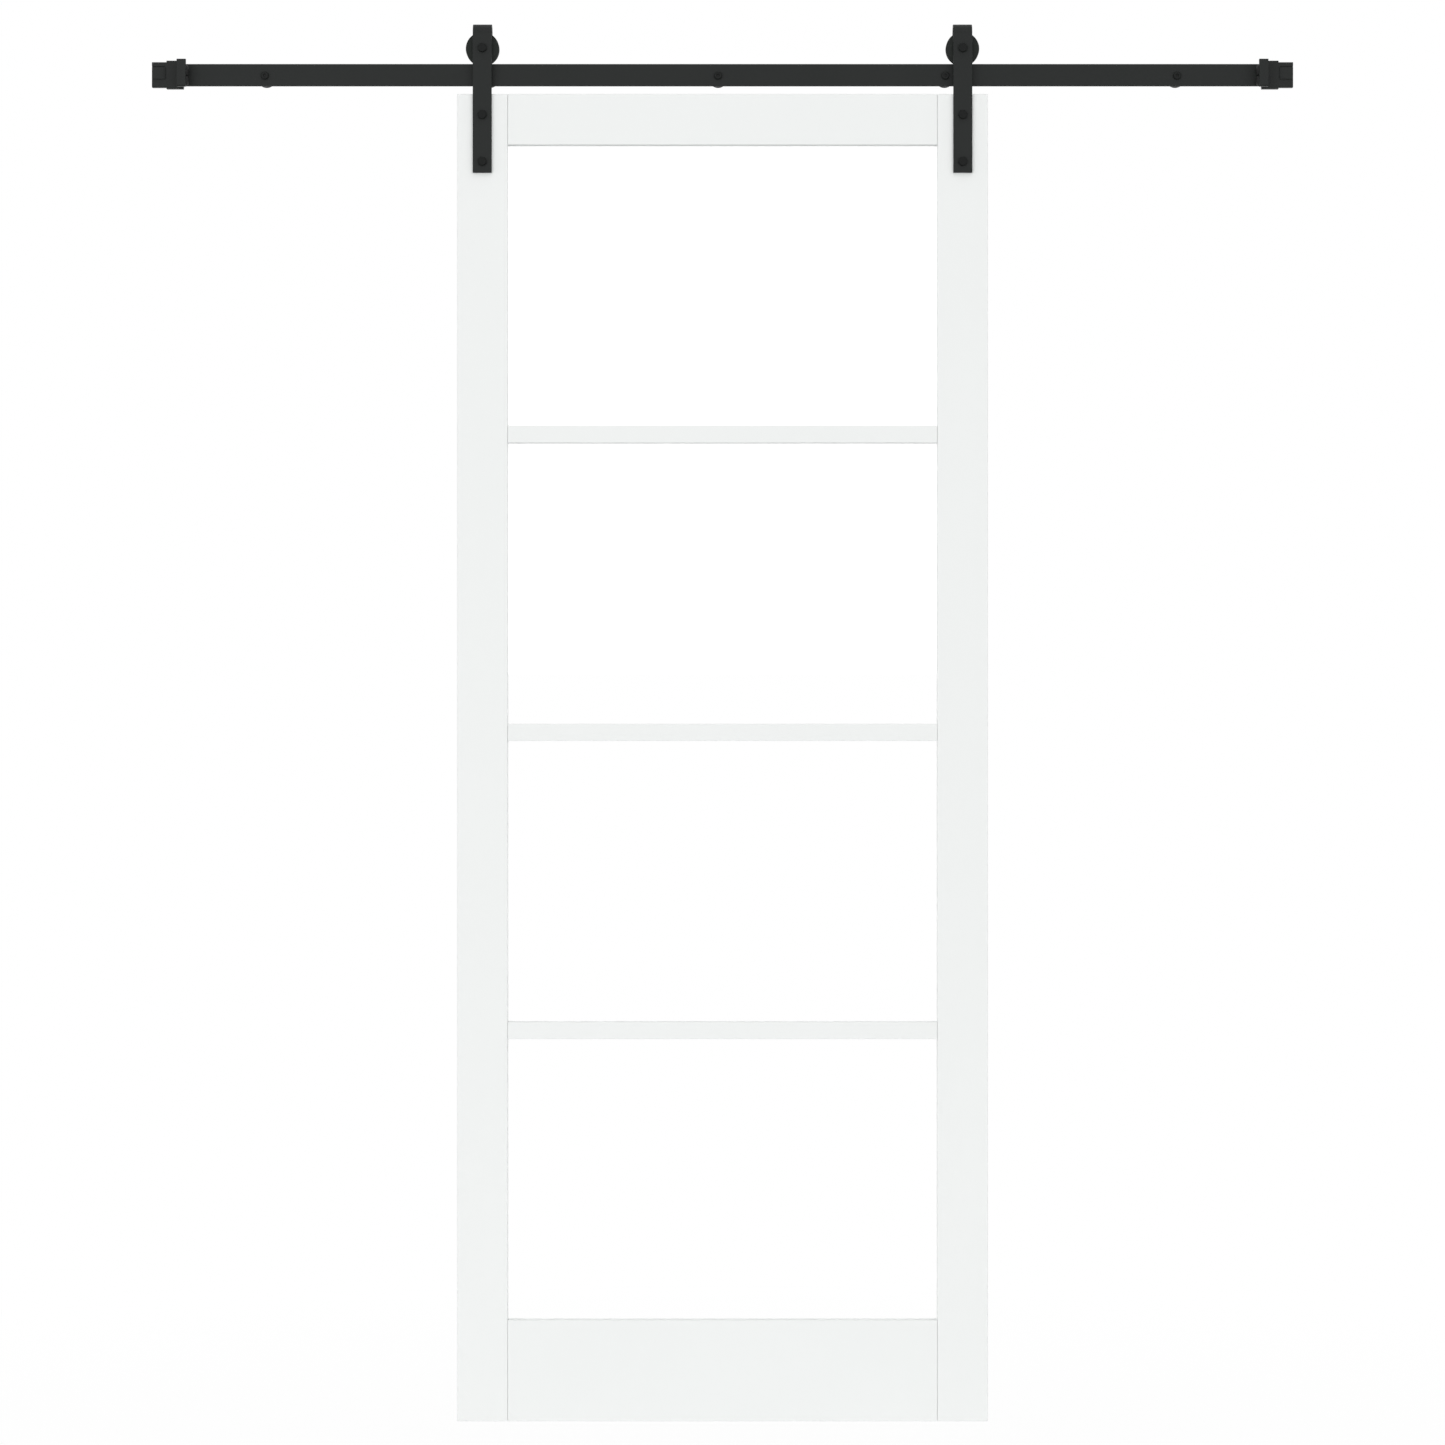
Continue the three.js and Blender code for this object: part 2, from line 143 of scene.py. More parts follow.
def modify(piece, kind, **settings):
    """Adds a modifier with these settings, and applies it."""
    pick(piece)
    modifier = piece.modifiers.new(kind.title(), kind)
    for name, value in settings.items():
        setattr(modifier, name, value)
    bpy.ops.object.modifier_apply(modifier=modifier.name)
    return piece


def combine(piece, operation, *tools):
    """Cuts, joins or crosses the piece with each tool, and uses the tools up."""
    for tool in tools:
        modify(piece, "BOOLEAN", object=tool, operation=operation, solver="EXACT")
        bpy.data.objects.remove(tool)
    return piece


def soften(piece, radius, segments=3):
    """Rounds every sharp edge, and shades the rest smooth."""
    modify(
        piece,
        "BEVEL",
        width=radius * MM,
        segments=segments,
        limit_method="ANGLE",
        angle_limit=ROUNDED_FROM,
    )
    with editing(piece):
        bpy.ops.mesh.remove_doubles(threshold=TINY)
    return smooth(piece)


def smooth(piece):
    """Shades the piece smooth, except over its sharp edges."""
    pick(piece)
    bpy.ops.object.shade_smooth_by_angle(angle=SHARP_FROM)
    return piece


def block(name, low, high):
    """A box between two corners."""
    low, high = Vector(low) * MM, Vector(high) * MM
    bpy.ops.mesh.primitive_cube_add(size=1, location=(low + high) / 2)
    piece = named(name)
    piece.scale = high - low
    return settle(piece)


def wire(name, points):
    """An open line of edges through the points."""
    points = [Vector(point) * MM for point in points]
    bpy.ops.mesh.primitive_plane_add(size=MM)
    piece = named(name)
    with editing(piece):
        bpy.ops.mesh.merge(type="CENTER")
        bpy.ops.transform.translate(value=points[0])
        for here, there in zip(points, points[1:]):
            bpy.ops.mesh.extrude_vertices_move(TRANSFORM_OT_translate={"value": there - here})
    return piece


def prism(name, outline, start, travel):
    """A solid that sweeps a closed outline of (x, y, z) corners, moved to start, along travel."""
    corners = [Vector(start) + Vector(corner) for corner in outline]
    piece = wire(name, [*corners, corners[0]])
    with editing(piece):
        bpy.ops.mesh.remove_doubles(threshold=TINY)
        bpy.ops.mesh.edge_face_add()
        bpy.ops.mesh.extrude_region_move(TRANSFORM_OT_translate={"value": Vector(travel) * MM})
    return settle(piece)


def turned(name, outline, sides=64, bore=False, at=(0, 0)):
    """A body turned about a line along Y, from (radius, y) steps. A bored one closes on itself."""
    x, z = (value * MM for value in at)
    rings = [(radius * MM, y * MM) for radius, y in outline]
    closing = rings[:1] if bore else []
    radius, y = rings[0]
    bpy.ops.mesh.primitive_circle_add(
        vertices=sides,
        radius=radius,
        fill_type="NOTHING" if bore else "NGON",
        location=(x, y, z),
        rotation=(math.pi / 2, 0, 0),
    )
    piece = named(name)
    bpy.ops.object.transform_apply(location=True, rotation=True, scale=True)
    with editing(piece):
        for next_radius, next_y in rings[1:] + closing:
            bpy.ops.mesh.extrude_region_move(TRANSFORM_OT_translate={"value": (0, next_y - y, 0)})
            ratio = next_radius / radius
            bpy.ops.transform.resize(value=(ratio, 1, ratio), center_override=(x, next_y, z))
            radius, y = next_radius, next_y
    return settle(piece)


def drill(radius, y0, y1, at=(0, 0)):
    """A round cutter along Y, at a place in x and z."""
    return turned("drill", [(radius, y0), (radius, y1)], sides=48, at=at)


def hexagon(width, y0, y1):
    """A hexagonal bar along Y, given across its flats."""
    corner = width / math.sqrt(3)
    return turned("hexagon", [(corner, y0), (corner, y1)], sides=6)


def arc(centre, radii, start, end, steps=6):
    """Points along an arc of a circle or an ellipse, between two angles in degrees."""
    angles = [math.radians(start + (end - start) * i / steps) for i in range(steps + 1)]
    return [
        (centre[0] + radii[0] * math.cos(angle), centre[1] + radii[1] * math.sin(angle))
        for angle in angles
    ]


def thread_root(crest, pitch):
    """The radius at the bottom of a thread."""
    return crest - 0.6 * pitch


def threaded(crest, pitch, y0, y1):
    """A threaded length of rod along Y, cut off square at both ends.

    The ridge is one turn of the thread, as radii at shares of the pitch.
    """
    root, sides, spare_turns = thread_root(crest, pitch), 24, 2
    ridge = [(root, 0), (root, 0.15), (crest, 0.5), (crest, 0.65), (root, 1)]
    lead = y0 - pitch
    piece = wire("thread", [(radius, lead + share * pitch, 0) for radius, share in ridge])
    modify(
        piece,
        "SCREW",
        axis="Y",
        screw_offset=pitch * MM,
        iterations=math.ceil((y1 - y0) / pitch) + spare_turns,
        steps=sides,
        render_steps=sides,
    )
    settle(piece)
    for y, keep_beyond in ((y0, True), (y1, False)):
        with editing(piece):
            bpy.ops.mesh.bisect(
                plane_co=(0, y * MM, 0),
                plane_no=(0, 1, 0),
                use_fill=True,
                clear_inner=keep_beyond,
                clear_outer=not keep_beyond,
                threshold=TINY,
            )
    return smooth(settle(piece))


def joined(*pieces):
    """Several closed shells as one piece."""
    pick(pieces[0])
    for piece in pieces[1:]:
        piece.select_set(True)
    bpy.ops.object.join()
    return pieces[0]


def copied(pattern, at=(0, 0, 0), turn=0.0, mirrored=False):
    """A copy of the pattern with its own mesh, turned about Y and moved to its place."""
    piece = pattern.copy()
    piece.data = pattern.data.copy()
    bpy.context.collection.objects.link(piece)
    piece.rotation_euler = (0, turn, 0)
    piece.location = Vector(at) * MM
    if mirrored:
        piece.scale.x = -1
    return settle(piece)


def stand_for(piece, node, finish):
    """Gives the piece its finish, and shows it in the node's place on the node's body."""
    slot, material = finish
    modify(piece, "WEIGHTED_NORMAL", keep_sharp=True)
    piece.name = piece.data.name = f"{node}_finished"
    piece.data.materials.clear()
    piece.data.materials.append(material)
    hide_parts(node)
    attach(piece, BODY_OF[node])


def stand_for_all(pattern, finish, *copies):
    """Puts a copy of the pattern in each node's place: (node, place, turn). The pattern goes."""
    for node, at, turn in copies:
        stand_for(copied(pattern, at, turn), node, finish)
    bpy.data.objects.remove(pattern)


# ---- Materials ----


class Shade:
    """An output in a tree of shader nodes, or the tree alone. Arithmetic adds Math nodes."""

    def __init__(self, tree, socket=None):
        self.tree = tree
        self.socket = socket

    def node(self, kind, inputs=None, output=0, **settings):
        """A new node: its settings first, then the values or links of its sockets."""
        made = self.tree.nodes.new(kind)
        for name, value in settings.items():
            setattr(made, name, value)
        for name, value in (inputs or {}).items():
            if isinstance(value, Shade):
                self.tree.links.new(value.socket, made.inputs[name])
            else:
                made.inputs[name].default_value = value
        return Shade(self.tree, made.outputs[output] if made.outputs else None)

    def maths(self, operation, *others):
        """A Math node that takes this output first, and then the others."""
        return self.node("ShaderNodeMath", dict(enumerate((self, *others))), operation=operation)

    def __add__(self, other):
        return self.maths("ADD", other)

    def __sub__(self, other):
        return self.maths("SUBTRACT", other)

    def __rsub__(self, other):
        return self.maths("MULTIPLY_ADD", -1, other)

    def __mul__(self, other):
        return self.maths("MULTIPLY", other)

    __radd__ = __add__
    __rmul__ = __mul__


def place_on(tree, stretch=(1, 1, 1)):
    """The point on the piece, in metres, with each axis scaled for a texture."""
    place = tree.node("ShaderNodeTexCoord", output="Object")
    return tree.node("ShaderNodeMapping", {"Vector": place, "Scale": stretch})


def noise(place, scale, detail=2.0):
    """A soft random texture, from 0 to 1, with this many cells to the metre."""
    return place.node("ShaderNodeTexNoise", {"Vector": place, "Scale": scale, "Detail": detail})


def mix(factor, first, second):
    """The first colour where the factor is 0, and the second where it is 1."""
    inputs = {0: factor, 6: first, 7: second}
    return factor.node("ShaderNodeMix", inputs, output=2, data_type="RGBA")


def bump(height, depth, strength):
    """A surface relief of this depth, in mm."""
    inputs = {"Height": height, "Distance": depth * MM, "Strength": strength}
    return height.node("ShaderNodeBump", inputs)


def principled(tree, **inputs):
    """The surface shader. The words of a socket's name are joined by underscores."""
    sockets = {name.replace("_", " "): value for name, value in inputs.items()}
    return tree.node("ShaderNodeBsdfPrincipled", sockets)


def shown(red, green, blue):
    """A colour of 0 to 255 as a screen shows it, in the linear values that sockets take."""
    shares = [value / 255 for value in (red, green, blue)]
    return (*[s / 12.92 if s <= 0.04045 else ((s + 0.055) / 1.055) ** 2.4 for s in shares], 1)


def material(name, surface):
    """A material with the shader that the function surface builds."""
    made = bpy.data.materials.new(name)
    made.use_nodes = True
    made.node_tree.nodes.clear()
    tree = Shade(made.node_tree)
    tree.node("ShaderNodeOutputMaterial", {"Surface": surface(tree)})
    return made


def powder_coat(dark, light, roughness, gloss, peel_depth):
    """Black powder coat: flat colour with an even orange peel."""

    def surface(tree):
        place = place_on(tree)
        peel = noise(place, 1100)
        drift = noise(place, 9, detail=3)
        return principled(
            tree,
            Base_Color=mix(drift, dark, light),
            Roughness=roughness + 0.1 * drift + 0.06 * peel,
            Specular_IOR_Level=gloss,
            Normal=bump(peel, peel_depth, strength=0.5),
        )

    return surface


def black_steel(dark, light, gloss):
    """Blackened steel with fine turning marks."""

    def surface(tree):
        marks = noise(place_on(tree, (1, 9, 1)), 420, detail=3)
        drift = noise(place_on(tree), 60)
        return principled(
            tree,
            Base_Color=mix(drift, dark, light),
            Roughness=0.36 + 0.12 * drift + 0.06 * marks,
            Specular_IOR_Level=gloss,
            Normal=bump(marks, 0.02, strength=0.6),
        )

    return surface


def ground_steel(tree):
    """Bright steel with fine turning marks."""
    marks = noise(place_on(tree, (1, 14, 1)), 500, detail=3)
    return principled(
        tree,
        Base_Color=mix(marks, shown(178, 181, 184), shown(200, 203, 205)),
        Metallic=1.0,
        Roughness=0.24 + 0.16 * marks,
        Normal=bump(marks, 0.01, strength=0.5),
    )


def moulded_rubber(tree):
    """Matte black rubber with a fine moulded grain and a faint bloom."""
    place = place_on(tree)
    bloom = noise(place, 90, detail=3)
    return principled(
        tree,
        Base_Color=mix(bloom, shown(12, 13, 13), shown(17, 18, 18)),
        Roughness=0.55 + 0.12 * bloom,
        Specular_IOR_Level=0.3,
        Normal=bump(noise(place, 1600, detail=3), 0.04, strength=0.7),
    )


def painted_timber(along):
    """White satin paint, brushed along the piece, with the timber's grain just showing."""

    def stretched(share):
        return tuple(share if axis == along else 1.0 for axis in "XYZ")

    def surface(tree):
        grain = noise(place_on(tree, stretched(0.035)), 260, detail=4)
        brush = noise(place_on(tree, stretched(0.012)), 900)
        drift = noise(place_on(tree), 3.5, detail=3)
        return principled(
            tree,
            Base_Color=mix(drift, shown(236, 238, 237), shown(239, 241, 240)),
            Roughness=0.42 + 0.12 * drift + 0.08 * grain,
            Specular_IOR_Level=0.35,
            Normal=bump(0.6 * grain + 0.4 * brush, 0.06, strength=0.5),
        )

    return surface


def clear_glass(tree):
    """Float glass: clear through its faces, green through its edges, and open to lamps."""
    normal = tree.node("ShaderNodeNewGeometry", output="Normal")
    facing = tree.node("ShaderNodeSeparateXYZ", {"Vector": normal}, output="Y").maths("ABSOLUTE")
    glass = principled(
        tree,
        Base_Color=mix(facing, shown(150, 200, 178), (1, 1, 1, 1)),
        Roughness=0.0,
        IOR=1.5,
        Transmission_Weight=1.0,
    )
    lamp = tree.node("ShaderNodeLightPath", output="Is Shadow Ray")
    clear = tree.node("ShaderNodeBsdfTransparent", {"Color": (0.96, 0.97, 0.965, 1)})
    return tree.node("ShaderNodeMixShader", {0: lamp, 1: glass, 2: clear})


SATIN = powder_coat(
    shown(21, 24, 23), shown(24, 27, 26), roughness=0.44, gloss=0.2, peel_depth=0.05
)
SANDED = powder_coat(
    shown(24, 26, 25), shown(28, 30, 29), roughness=0.74, gloss=0.14, peel_depth=0.09
)
DULL = powder_coat(
    shown(34, 37, 35), shown(37, 40, 38), roughness=0.54, gloss=0.1, peel_depth=0.05
)
OXIDISED = black_steel(shown(5, 8, 7), shown(9, 12, 11), gloss=0.13)
# The wall screws' steel is a lighter copy of the oxidised steel. This is painted light that lifts
# the shade in their sockets and round their heads.
LIGHTENED_BLACK_STEEL = black_steel(shown(7, 10, 9), shown(12, 15, 14), gloss=0.15)

COAT = ("black_coat", material("satin_powder_coat", SATIN))
SPACER_COAT = ("black_coat", material("sanded_powder_coat", SANDED))
WHEEL_COAT = ("black_coat", material("dull_powder_coat", DULL))
OXIDE = ("black_fastener", material("black_oxide_steel", OXIDISED))
LIGHTENED_OXIDE = ("black_fastener", material("black_steel_lightened_against_shade", LIGHTENED_BLACK_STEEL))
STEEL = ("bare_steel", material("ground_steel", ground_steel))
RUBBER = ("black_rubber", material("moulded_rubber", moulded_rubber))
PAINT_UPRIGHT = ("white_timber", material("white_paint_upright", painted_timber("Z")))
PAINT_ACROSS = ("white_timber", material("white_paint_across", painted_timber("X")))
GLASS = ("clear_glass", material("clear_float_glass", clear_glass))


# ---- Fasteners ----

HEAD_WIDTH = 13
FACE_SHARE = 0.47  # radius of the flat face on a hexagon, as a share of its width
SOCKET_WIDTH = 5
BOLT_RADIUS = 4
BOLT_PITCH = 1.25
HOLE_RADIUS = BOLT_RADIUS + GAP
BARREL_RADIUS = 5.3


def chamfered_hexagon(width, y0, y1, both_ends=False):
    """A hexagon with its corners trimmed by a cone at y0, or at both ends."""
    clearance, slope = 0.1, math.radians(30)
    corner = width / math.sqrt(3) + clearance
    flat = FACE_SHARE * width
    depth = math.copysign((corner - flat) * math.tan(slope), y1 - y0)
    outline = [(flat, y0), (corner, y0 + depth)]
    outline += [(corner, y1 - depth), (flat, y1)] if both_ends else [(corner, y1)]
    return combine(hexagon(width, y0, y1), "INTERSECT", turned("cone", outline))


def hex_bolt(node):
    """A hex bolt with a washer face under its head and a threaded end."""
    end = size(node).y / 2
    height, washer, overlap, thread, point, tip_radius = 5.3, 0.5, 0.2, 16, 0.6, 2.8
    face, seat = FACE_SHARE * HEAD_WIDTH, height - end
    head = chamfered_hexagon(HEAD_WIDTH, -end, seat - washer)
    outline = [
        (face, seat - washer - overlap),
        (face, seat),
        (BOLT_RADIUS, seat),
        (BOLT_RADIUS, end - thread),
    ]
    bolt = soften(combine(head, "UNION", turned("shank", outline)), 0.25, segments=2)
    core = thread_root(BOLT_RADIUS, BOLT_PITCH)
    tip = turned("tip", [(core, end - point), (tip_radius, end)], sides=48)
    return joined(bolt, threaded(BOLT_RADIUS, BOLT_PITCH, end - thread, end - point), tip)


def lock_nut(node):
    """A hexagon nut with the round collar that holds its locking ring."""
    end = size(node).y / 2
    collar, radius, edge, hidden = 1.8, 5.9, 0.8, 1
    rim = arc((radius - edge, end - edge), (edge, edge), 0, 90)
    nut = chamfered_hexagon(HEAD_WIDTH, end - collar, -end, both_ends=True)
    combine(nut, "UNION", turned("collar", [(radius, hidden - end), (radius, end - edge), *rim]))
    bore = drill(HOLE_RADIUS, -end - OVERRUN, end + OVERRUN)
    return soften(combine(nut, "DIFFERENCE", bore), 0.2, segments=2)


def lag_screw(node):
    """A round socket head, a plain shank through the spacer, and a coarse thread in the wall."""
    end = size(node).y / 2
    wall = -middle(node).y
    height, radius, edge, bevel = 4.5, 6.1, 1.3, 0.3
    dish, dish_rim, dish_depth, socket_depth = 3.2, 3.6, 0.15, 2.8
    shank, plain, run_in = 3.9, 5, 2
    core, pitch, point, overlap, tip_radius = 2.4, 2.7, 9, 0.5, 0.2
    seat, start, stop = height - end, wall + plain, end - point
    outline = [
        (dish, dish_depth - end),
        (dish_rim, -end),
        *arc((radius - edge, edge - end), (edge, edge), -90, 0),
        (radius, seat - bevel),
        (radius - bevel, seat),
        (shank, seat),
        (shank, start),
        (core, start + run_in),
    ]
    head = turned("screw", outline, sides=72)
    combine(head, "DIFFERENCE", hexagon(SOCKET_WIDTH, -end - OVERRUN, socket_depth - end))
    soften(head, 0.2, segments=2)
    thread = threaded(BOLT_RADIUS, pitch, start, stop)
    tip = turned("tip", [(core, stop - overlap), (core, stop), (tip_radius, end)], sides=48)
    return joined(head, thread, smooth(tip))


def barrel_nut(node):
    """A flanged nut for the leaf's back, with a hex socket in its domed head."""
    end = size(node).y / 2
    flange, thickness, bottom, socket_depth = size(node).x / 2, 2.5, 4.5, 1.7
    dome_width, dome_height = 3, 1
    seat = end - thickness
    dome = arc((flange - dome_width, end - dome_height), (dome_width, dome_height), 0, 90)
    nut = turned("nut", [(BARREL_RADIUS, -end), (BARREL_RADIUS, seat), (flange, seat), *dome])
    bore = drill(HOLE_RADIUS, -end - OVERRUN, end - bottom)
    combine(nut, "DIFFERENCE", bore, hexagon(SOCKET_WIDTH, end - socket_depth, end + OVERRUN))
    return soften(nut, 0.2, segments=2)


def set_screw(node):
    """A threaded plug with a hex socket in its back end."""
    end = size(node).y / 2
    pitch, width, depth = 1.0, 3, 2.4
    plug = threaded(size(node).x / 2, pitch, -end, end)
    return smooth(combine(plug, "DIFFERENCE", hexagon(width, end - depth, end + OVERRUN)))


# ---- Track ----


def wall_spacer(node):
    """A bored round spacer with chamfered ends."""
    half, radius, edge = size(node).y / 2, size(node).x / 2, 0.7
    front = [(HOLE_RADIUS, -half), (radius - edge, -half), (radius, edge - half)]
    back = [(ring, -y) for ring, y in reversed(front)]
    return soften(turned("spacer", front + back, sides=96, bore=True), 0.15, segments=2)


def build_track():
    low, high = box("track_rail")
    front, back = low.y - OVERRUN, high.y + OVERRUN
    screws = [f"wall_screw_{i}" for i in FIXINGS]
    spacers = [f"wall_spacer_{i}" for i in FIXINGS]
    rail = soften(block("rail", low, high), 0.5)
    holes = [drill(HOLE_RADIUS, front, back, (at.x, at.z)) for at in map(middle, spacers)]
    stand_for(smooth(combine(rail, "DIFFERENCE", *holes)), "track_rail", COAT)
    unturned = [(node, middle(node), 0) for node in spacers]
    stand_for_all(wall_spacer(spacers[0]), SPACER_COAT, *unturned)
    turned_apart = [(node, middle(node), radians) for radians, node in enumerate(screws)]
    # The wall screws get the lighter copy of the oxidised steel. This is painted light against the
    # shade on their heads.
    stand_for_all(lag_screw(screws[0]), LIGHTENED_OXIDE, *turned_apart)


# ---- End stops, modelled for the right-hand end and mirrored ----


def section(front, back, half, front_chamfer, back_chamfer):
    """A section across the rail, as high above its centreline as below, with chamfered corners."""
    upper = [
        (0, back, half - back_chamfer),
        (0, back - back_chamfer, half),
        (0, front + front_chamfer, half),
        (0, front, half - front_chamfer),
    ]
    return upper + [(x, y, -z) for x, y, z in reversed(upper)]


def stop_catch(low, front, half, inner):
    """The catch: a cheek in front of the buffer, and the leg that joins it to the clamp."""
    length, lift, foot_chamfer, top_chamfer = 14.2, 1.2, 2, 1
    leg_inset, leg_lift = 0.6, 1
    back, foot = box("right_stop_buffer")[0].y - GAP, lift - half
    leg_low = (inner + leg_inset, back - OVERRUN, foot + leg_lift)
    leg = block("leg", leg_low, (low.x + length, front + OVERRUN, half))
    outline = [
        (0, low.y, half - top_chamfer),
        (0, low.y, foot + foot_chamfer),
        (0, low.y + foot_chamfer, foot),
        (0, back, foot),
        (0, back, half),
        (0, low.y + top_chamfer, half),
    ]
    return leg, prism("cheek", outline, (low.x, 0, 0), (length, 0, 0))


def stop_boss(front, end):
    """The raised boss on the cap, and the cutter for the groove above it."""
    bottom, top, reach, length, inset = -7, 11.4, 3, 21, 1.2
    lip, slope, chamfer = 0.8, 6, 1
    groove_width, groove_depth, groove_inset = 2, 1.5, 1.5
    outer, face, root = end - inset, front - reach, front + OVERRUN
    inner = outer - length
    outline = [
        (inner, root, 0),
        (inner, front - lip, 0),
        (inner + slope, face, 0),
        (outer - chamfer, face, 0),
        (outer, face + chamfer, 0),
        (outer, root, 0),
    ]
    boss = prism("boss", outline, (0, 0, bottom), (0, 0, top - bottom))
    groove_low = (inner + groove_inset, front - OVERRUN, top)
    groove_high = (end + OVERRUN, front + groove_depth, top + groove_width)
    return boss, block("groove", groove_low, groove_high)


def stop_body():
    """A cast clamp with a cap beyond it, a raised boss, and a catch in front of the buffer."""
    low, high = box("right_stop_body")
    rail_low, rail_high = box("track_rail")
    pad_high = box("right_stop_buffer")[1]
    cap_length, cap_drop, cap_setback, screw_radius = 23.1, 2.4, 1.7, 3
    front, half, inner = pad_high.y + GAP, high.z, pad_high.x + GAP
    step = high.x - cap_length
    outline = section(front, high.y, half, front_chamfer=0.5, back_chamfer=5)
    clamp = prism("clamp", outline, (inner, 0, 0), (step - inner, 0, 0))
    leg, cheek = stop_catch(low, front, half, inner)
    cap_back, cap_half = high.y - cap_setback, half - cap_drop
    outline = section(front, cap_back, cap_half, front_chamfer=1, back_chamfer=2)
    cap = prism("cap", outline, (step - OVERRUN, 0, 0), (cap_length + OVERRUN, 0, 0))
    boss, groove = stop_boss(front, high.x)
    slot = block(
        "slot",
        (low.x, rail_low.y - GAP, rail_low.z - GAP),
        (rail_high.x + GAP, rail_high.y + GAP, rail_high.z + GAP),
    )
    threads = [
        drill(screw_radius + GAP, rail_high.y, high.y + OVERRUN, (at.x, at.z))
        for at in (middle(f"right_stop_set_screw_{height}") for height in HEIGHTS)
    ]
    body = combine(clamp, "UNION", leg, cheek, cap, boss)
    combine(body, "DIFFERENCE", slot, groove)
    with editing(body):
        bpy.ops.mesh.remove_doubles(threshold=TINY)
        bpy.ops.mesh.dissolve_limited(angle_limit=FLAT_BELOW)
    soften(body, 0.4)
    return smooth(combine(body, "DIFFERENCE", *threads))


def stop_buffer():
    """Two round rubber plugs with domed tips, one above the other on a plate."""
    low, high = box("right_stop_buffer")
    centre = (low + high) / 2
    plate_depth, plate_half, radius, crown = 2.5, 15.5, 8.6, 5
    lowest, highest = centre.z - plate_half, centre.z + plate_half
    plate = block("plate", (high.x - plate_depth, low.y, lowest), (high.x, high.y, highest))
    shoulder = high.x - low.x - crown
    tip = arc((0, shoulder), (radius, crown), 0, 88, steps=10)  # 90 would end in a point
    for z in (low.z + radius, high.z - radius):
        plug = turned("plug", [(radius, plate_depth / 2), *tip])
        plug.scale.x = (high.y - low.y) / (2 * radius)
        plug.rotation_euler.z = math.pi / 2
        plug.location = Vector((high.x, centre.y, z)) * MM
        combine(plate, "UNION", settle(plug))
    return soften(plate, 0.5)


def build_stops():
    body = stop_body()
    pad = stop_buffer()
    screw = set_screw("right_stop_set_screw_upper")
    for name, side in SIDES:
        stand_for(copied(body, mirrored=side < 0), f"{name}_stop_body", COAT)
        stand_for(copied(pad, mirrored=side < 0), f"{name}_stop_buffer", RUBBER)
        for height in HEIGHTS:
            node = f"{name}_stop_set_screw_{height}"
            stand_for(copied(screw, middle(node)), node, OXIDE)
    for pattern in (body, pad, screw):
        bpy.data.objects.remove(pattern)


# ---- Hangers ----


def choose_faces(piece, wanted):
    """Selects only the faces that pass the test, in edit mode."""
    bpy.ops.mesh.select_mode(type="FACE")
    bpy.ops.mesh.select_all(action="DESELECT")
    bpy.ops.object.mode_set(mode="OBJECT")
    for face in piece.data.polygons:
        face.select = wanted(face)
    bpy.ops.object.mode_set(mode="EDIT")


def hanger_strap():
    """One flat bar, bent round over the wheel and down behind it, modelled at x = 0."""
    low, high = box("right_hanger_strap")
    half, thickness, leg = (high.x - low.x) / 2, 5, 15
    axle = middle("right_axle_bolt")
    bend = Vector((0, (low.y + high.y) / 2, high.z - (high.y - low.y) / 2))
    strap = block("strap", (-half, low.y, low.z), (half, low.y + thickness, bend.z))
    with editing(strap):
        choose_faces(strap, lambda face: face.normal.z > 0.9)
        bpy.ops.mesh.spin(steps=48, angle=math.pi, center=bend * MM, axis=(1, 0, 0))
        down = (axle.z - leg - bend.z) * MM
        bpy.ops.mesh.extrude_region_move(TRANSFORM_OT_translate={"value": (0, 0, down)})
    settle(strap)
    soften(strap, 0.7, segments=4)
    front, inside = low.y - OVERRUN, low.y + thickness + OVERRUN
    bolts = [middle(f"right_strap_bolt_{height}") for height in HEIGHTS]
    holes = [drill(HOLE_RADIUS, front, inside, (0, at.z)) for at in bolts]
    holes.append(drill(HOLE_RADIUS, front, high.y + OVERRUN, (0, axle.z)))
    return smooth(combine(strap, "DIFFERENCE", *holes))


def grooved_wheel(node):
    """A wheel turned with flat hubs, sloping rims and a V groove that holds the rail's edge."""
    half, flange = size(node).y / 2, size(node).z / 2
    hub, slope_start, slope_depth, land, edge = 18.5, 20.4, 1.1, 1.2, 0.9
    rim, groove, tread, flat = 8.6, 5.2, 23.3, 3.3
    recess, recess_depth, seat, shoulder, lip = 13, 6, 11, 3.8, 9.5
    floor = half - recess_depth
    front = [
        (recess, -half),
        (hub, -half),
        (slope_start, slope_depth - half),
        (flange - land, -rim),
        *arc((flange - edge, edge - rim), (edge, edge), -60, 0, steps=3),
        (flange, -groove),
        (tread, -flat),
    ]
    back = [(radius, -y) for radius, y in reversed(front)]
    inside = [
        (recess, floor),
        (lip, floor),
        (lip, shoulder),
        (seat, shoulder),
        (seat, -floor),
        (recess, -floor),
    ]
    return soften(turned("wheel", front + back + inside, sides=128, bore=True), 0.3)


def plain_ring(node):
    """A sleeve or race round the axle, its ends broken by a small chamfer."""
    half, outer = size(node).y / 2, size(node).x / 2
    outline = [(HOLE_RADIUS, -half), (outer, -half), (outer, half), (HOLE_RADIUS, half)]
    return soften(turned("ring", outline, sides=72, bore=True), 0.25, segments=2)


def outer_race(node):
    """The outer race, with a dished shield set into each end."""
    half, outer = size(node).y / 2, size(node).x / 2
    slit, ring, slope, inset, thickness = 6.4, 1.4, 0.5, 0.3, 0.6
    wall, face = outer - ring, inset - half
    front = [
        (wall, thickness + face),
        (slit, thickness + face),
        (slit, face),
        (wall - slope, face),
        (wall, -half),
        (outer, -half),
    ]
    back = [(radius, -y) for radius, y in reversed(front)]
    return soften(turned("race", front + back, sides=72, bore=True), 0.12, segments=2)


